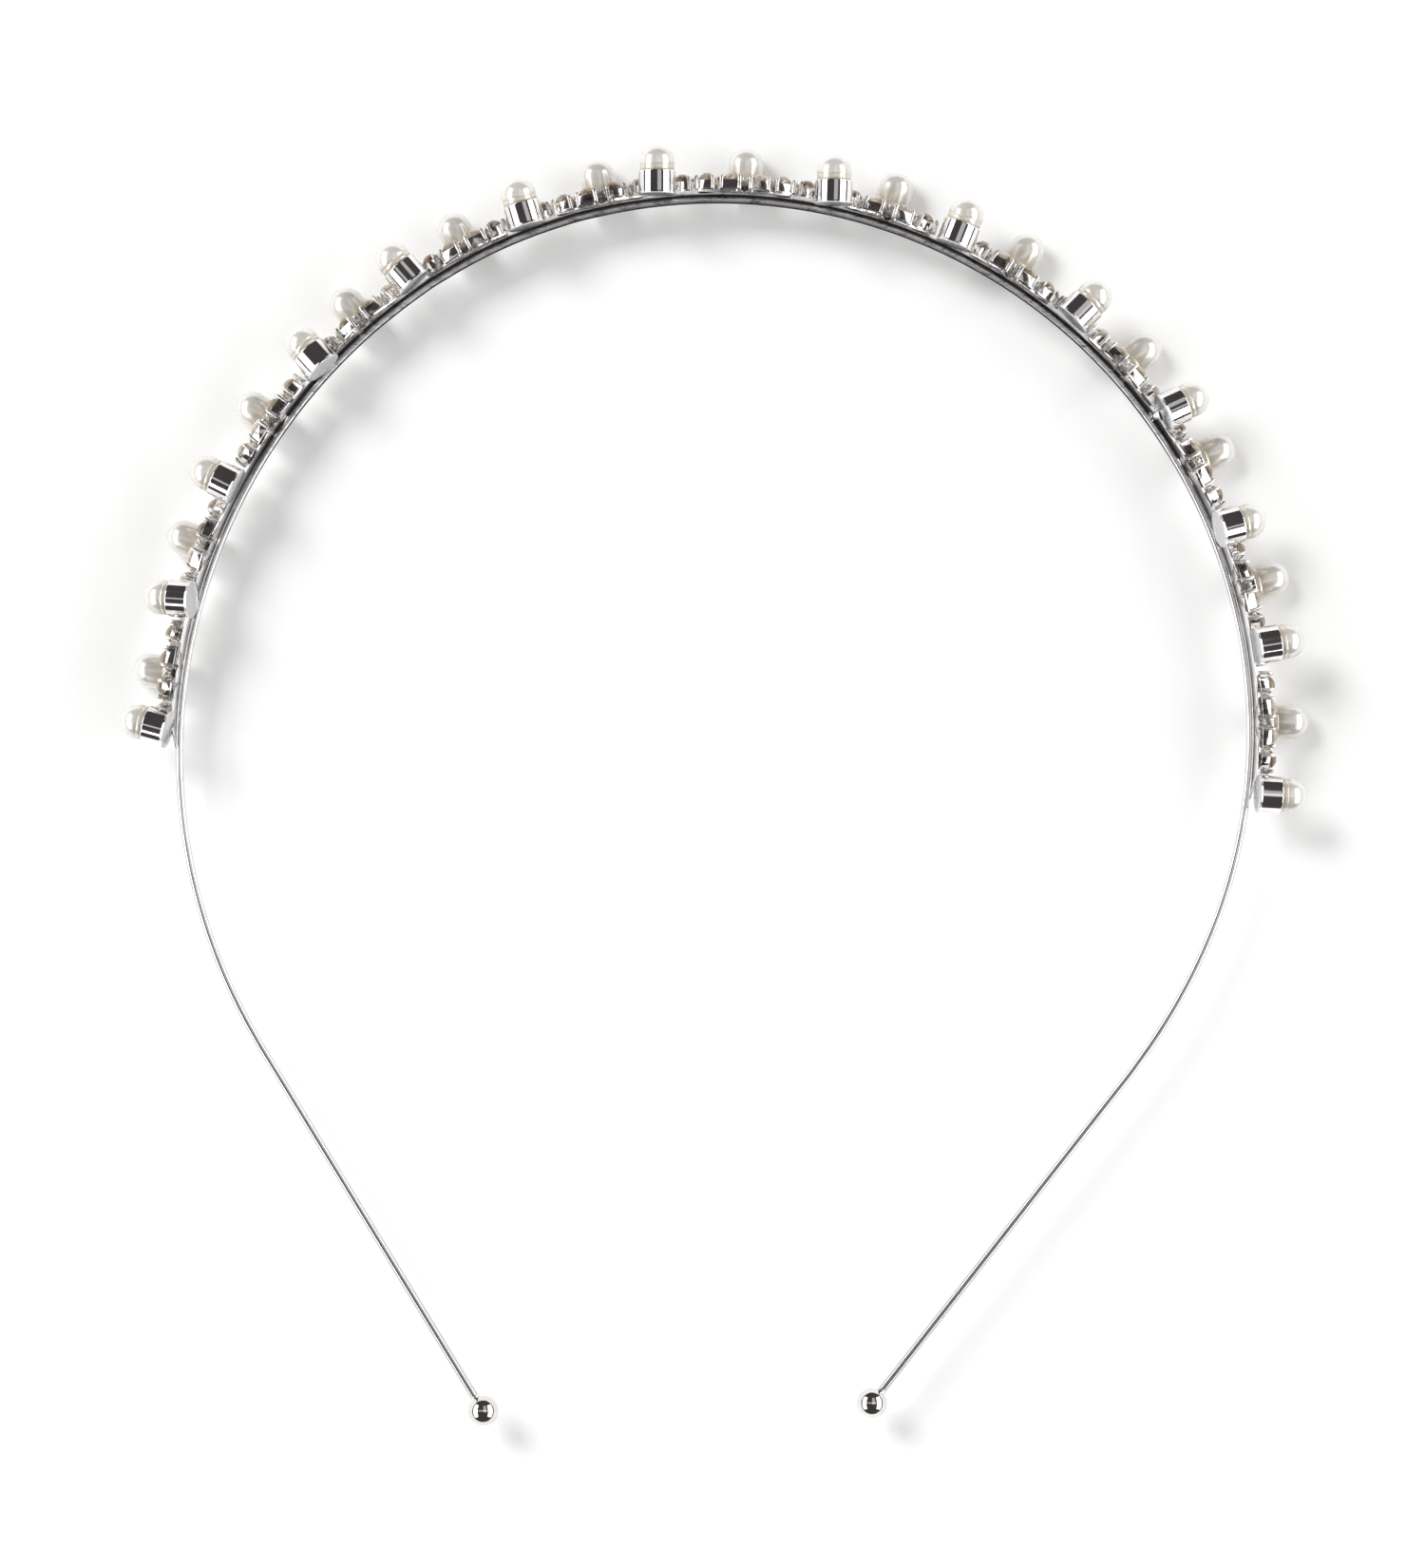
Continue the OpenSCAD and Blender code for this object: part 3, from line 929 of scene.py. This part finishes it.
strip_points = np.array([v.co for v in nodes["backing_strip"].data.vertices])
strip_tips = []
for side in (-1, 1):
    low = strip_points[side * (strip_points[:, 0] - middle.x) > 0][:, 1].min() + STRIP_SHORT * MM
    on_side = [k for k in range(len(hoop_path)) if side * (hoop_path[k][0] - middle.x) > 0]
    strip_tips.append(min(on_side, key=lambda k: abs(hoop_path[k][1] - low)))
half_w = (strip_hi.z - strip_lo.z) / 2 / MM
strip = Shape().add(strip_ribbon(hoop_path[strip_tips[0]:strip_tips[1] + 1], half_w))
strip = strip.build("backing_ribbon", strip_silver)
paint_strip_shade(strip)
solder = Shape()
for name, (place, r, _, _) in cups.items():
    joint = solder_joint(place, r, 1 if name.startswith("upper") else -1)
    if joint:
        solder.add(*joint)
solder = solder.build("cup_solder", solder_silver)
for piece in (strip, solder):
    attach(piece, "crown")
    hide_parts("backing_strip")


# Stage, light and camera

def panel(name, place, towards, size, glow):
    """A flat glowing panel facing the object; its size starts along Y at the sides and along X overhead."""
    data = bpy.data.lights.new(name, "AREA")
    data.shape, data.size, data.size_y = "RECTANGLE", size[0] * MM, size[1] * MM
    data.energy = glow * math.pi * data.size * data.size_y
    light = bpy.data.objects.new(name, data)
    light.location = middle + Vector(place) * MM
    light.rotation_euler = towards.to_track_quat("Z", "Y").to_euler()
    bpy.context.scene.collection.objects.link(light)


for name, (low, high) in SOFTBOX_SPANS.items():
    elevation, half = math.radians((low + high) / 2), math.radians((high - low) / 2)
    side = -1 if name == "left" else 1
    towards = Vector((side * math.cos(elevation), 0, math.sin(elevation)))
    tall = 2 * SOFTBOX_DISTANCE * math.tan(half)
    panel(name + "_softbox", towards * SOFTBOX_DISTANCE, towards, (SOFTBOX_WIDE, tall), SOFTBOX_GLOW)
panel("overhead_strip", towards=UP, **OVERHEAD_STRIP)
panel("overhead_card", towards=UP, **OVERHEAD_CARD)

sun = bpy.data.objects.new("key", bpy.data.lights.new("key", "SUN"))
sun.data.energy = SUN_STRENGTH
sun.data.angle = math.radians(SUN_SPREAD)
sun.rotation_euler = Vector(SUN_FROM).to_track_quat("Z", "Y").to_euler()
sun.visible_glossy = False
bpy.context.scene.collection.objects.link(sun)

bpy.ops.mesh.primitive_plane_add(size=2 * FLOOR_HALF * MM, location=(middle.x, middle.y, 0))
floor = bpy.context.object
floor.name = "floor"
floor.data.materials.append(floor_material())

world = bpy.data.worlds.new("studio")
bpy.context.scene.world = world
world.use_nodes = True
tree = world.node_tree
background = tree.nodes["Background"]
rays = tree.nodes.new("ShaderNodeLightPath")
colour = None
for ray, sees in (("Is Diffuse Ray", STUDIO_FILL), ("Is Camera Ray", STUDIO_BACKDROP)):
    mix = tree.nodes.new("ShaderNodeMix")
    mix.data_type = "RGBA"
    mix.inputs[6].default_value = (*STUDIO_DARK, 1)
    mix.inputs[7].default_value = (*sees, 1)
    if colour:
        tree.links.new(colour, mix.inputs[6])
    tree.links.new(rays.outputs[ray], mix.inputs["Factor"])
    colour = mix.outputs[2]
tree.links.new(colour, background.inputs["Color"])

camera = bpy.data.objects.new("camera", bpy.data.cameras.new("camera"))
camera.data.sensor_width = SENSOR
camera.data.lens = SENSOR * CAMERA_HEIGHT / FRAME_TALL
camera.location = (CAMERA_OFFSET[0] * MM, CAMERA_OFFSET[1] * MM, plane_z + CAMERA_HEIGHT * MM)
bpy.context.scene.collection.objects.link(camera)
bpy.context.scene.camera = camera
bpy.context.scene.view_settings.view_transform = "Standard"
